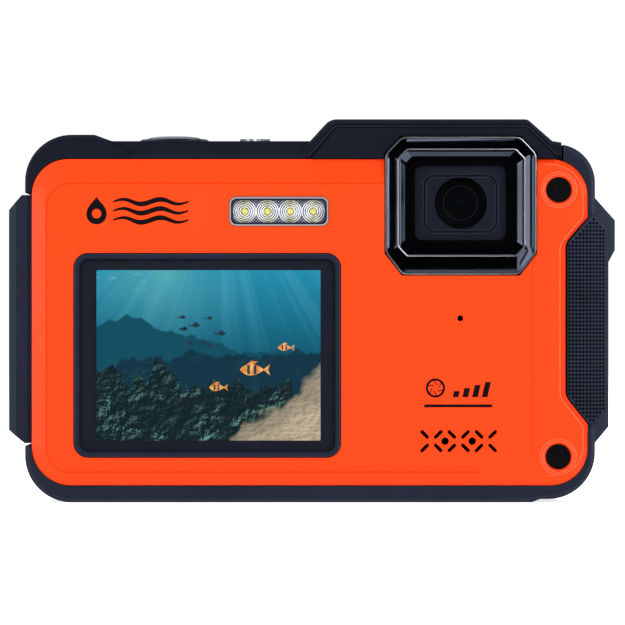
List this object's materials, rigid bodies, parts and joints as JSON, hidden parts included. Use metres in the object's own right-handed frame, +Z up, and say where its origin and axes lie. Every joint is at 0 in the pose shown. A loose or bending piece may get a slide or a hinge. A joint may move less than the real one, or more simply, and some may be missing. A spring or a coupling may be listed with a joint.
{
  "type": "action camera",
  "caption": "Rugged waterproof camera: recessed lens in an octagonal bezel, LED light, screens on front and back, rear keys, sealed side door and lanyard lug.",
  "frame": {"origin": "middle of the footprint, on the surface the camera stands on", "axes": "+X to the right seen from the front, +Y from the lens side to the back, +Z up"},
  "size_m": [0.11, 0.0268, 0.0693],
  "materials": {
    "dark_plastic": "fine grained, satin",
    "orange_plastic": "satin painted",
    "dark_chrome": "polished",
    "clear_glass": "polished",
    "screen_glass": "polished",
    "display": "flat",
    "black_plastic": "fine matt",
    "key_plastic": "satin",
    "rubber": "matt",
    "steel": "plain",
    "brass": "turned",
    "board": "solder mask",
    "reflector": "bright",
    "led": "phosphor",
    "battery_wrap": "label film",
    "card_plastic": "moulded"
  },
  "bodies": {
    "housing": {"main_shell": "dark_plastic", "rear_cover": "dark_plastic", "top_cover": "dark_plastic", "face_plate": "orange_plastic", "housing_seal": "rubber", "lens_bezel": "dark_chrome", "lens_window": "clear_glass", "lens_plate": "black_plastic", "lens_barrel": "black_plastic", "lens_elements": "clear_glass", "image_sensor": "board", "sensor_board": "board", "front_screen_frame": "dark_plastic", "front_screen_glass": "screen_glass", "front_screen_panel": "display", "light_frame": "steel", "light_lens": "clear_glass", "light_reflector": "reflector", "light_leds": "led", "microphone": "black_plastic", "speaker": "black_plastic", "face_screws": "steel", "screw_plugs": "black_plastic", "rear_screws": "steel", "grip_pad": "rubber", "side_rail": "dark_plastic", "strap_pin": "steel", "main_board": "board", "battery": "battery_wrap", "battery_bay": "black_plastic", "io_board": "board", "usb_socket": "steel", "card_socket": "steel", "top_board": "board", "keypad_board": "board", "keypad_mat": "rubber", "tripod_bush": "brass", "rear_screen_glass": "screen_glass", "rear_screen_panel": "display", "thumb_rest": "rubber", "shutter_collar": "dark_chrome", "hinge_pin": "steel", "shutter_spring": "steel", "power_spring": "steel"},
    "door": {"side_door": "dark_plastic", "door_seal": "rubber"},
    "latch": {"door_latch": "dark_plastic"},
    "shutter": {"shutter_button": "key_plastic"},
    "power": {"power_button": "key_plastic"},
    "zoom": {"zoom_rocker": "black_plastic"},
    "card": {"memory_card": "card_plastic"},
    "key_up": {"key_up": "key_plastic"},
    "key_down": {"key_down": "key_plastic"},
    "key_left": {"key_left": "key_plastic"},
    "key_right": {"key_right": "key_plastic"},
    "key_ok": {"key_ok": "key_plastic"},
    "key_menu": {"key_menu": "key_plastic"},
    "key_play": {"key_play": "key_plastic"},
    "key_delete": {"key_delete": "key_plastic"},
    "key_screen": {"key_screen": "key_plastic"}
  },
  "joints": [
    {"name": "door_hinge", "type": "hinge", "parent": "housing", "child": "door", "pos_m": [-0.0532, 0.008, 0.033], "axis": [0, 0, -1], "range_deg": [0, 105]},
    {"name": "latch_slide", "type": "slide", "parent": "door", "child": "latch", "axis": [0, 0, -1], "range_m": [0, 0.002]},
    {"name": "shutter_press", "type": "slide", "parent": "housing", "child": "shutter", "axis": [0, 0, -1], "range_m": [0, 0.0006], "stiffness_N_per_m": 1500, "deforming": ["shutter_spring"]},
    {"name": "power_press", "type": "slide", "parent": "housing", "child": "power", "axis": [0, 0, -1], "range_m": [0, 0.0004], "stiffness_N_per_m": 1500, "deforming": ["power_spring"]},
    {"name": "zoom_tilt", "type": "hinge", "parent": "housing", "child": "zoom", "pos_m": [-0.0345, 0.0123, 0.0546], "axis": [0, 0, 1], "range_deg": [-2.5, 2.5], "stiffness_Nm_per_rad": 0.06},
    {"name": "card_push", "type": "slide", "parent": "housing", "child": "card", "axis": [1, 0, 0], "range_m": [0, 0.0006], "stiffness_N_per_m": 500},
    {"name": "key_up_press", "type": "slide", "parent": "housing", "child": "key_up", "axis": [0, -1, 0], "range_m": [0, 0.0004], "stiffness_N_per_m": 1500},
    {"name": "key_down_press", "type": "slide", "parent": "housing", "child": "key_down", "axis": [0, -1, 0], "range_m": [0, 0.0004], "stiffness_N_per_m": 1500},
    {"name": "key_left_press", "type": "slide", "parent": "housing", "child": "key_left", "axis": [0, -1, 0], "range_m": [0, 0.0004], "stiffness_N_per_m": 1500},
    {"name": "key_right_press", "type": "slide", "parent": "housing", "child": "key_right", "axis": [0, -1, 0], "range_m": [0, 0.0004], "stiffness_N_per_m": 1500},
    {"name": "key_ok_press", "type": "slide", "parent": "housing", "child": "key_ok", "axis": [0, -1, 0], "range_m": [0, 0.0004], "stiffness_N_per_m": 1500},
    {"name": "key_menu_press", "type": "slide", "parent": "housing", "child": "key_menu", "axis": [0, -1, 0], "range_m": [0, 0.0004], "stiffness_N_per_m": 1500},
    {"name": "key_play_press", "type": "slide", "parent": "housing", "child": "key_play", "axis": [0, -1, 0], "range_m": [0, 0.0004], "stiffness_N_per_m": 1500},
    {"name": "key_delete_press", "type": "slide", "parent": "housing", "child": "key_delete", "axis": [0, -1, 0], "range_m": [0, 0.0004], "stiffness_N_per_m": 1500},
    {"name": "key_screen_press", "type": "slide", "parent": "housing", "child": "key_screen", "axis": [0, -1, 0], "range_m": [0, 0.0004], "stiffness_N_per_m": 1500}
  ]
}
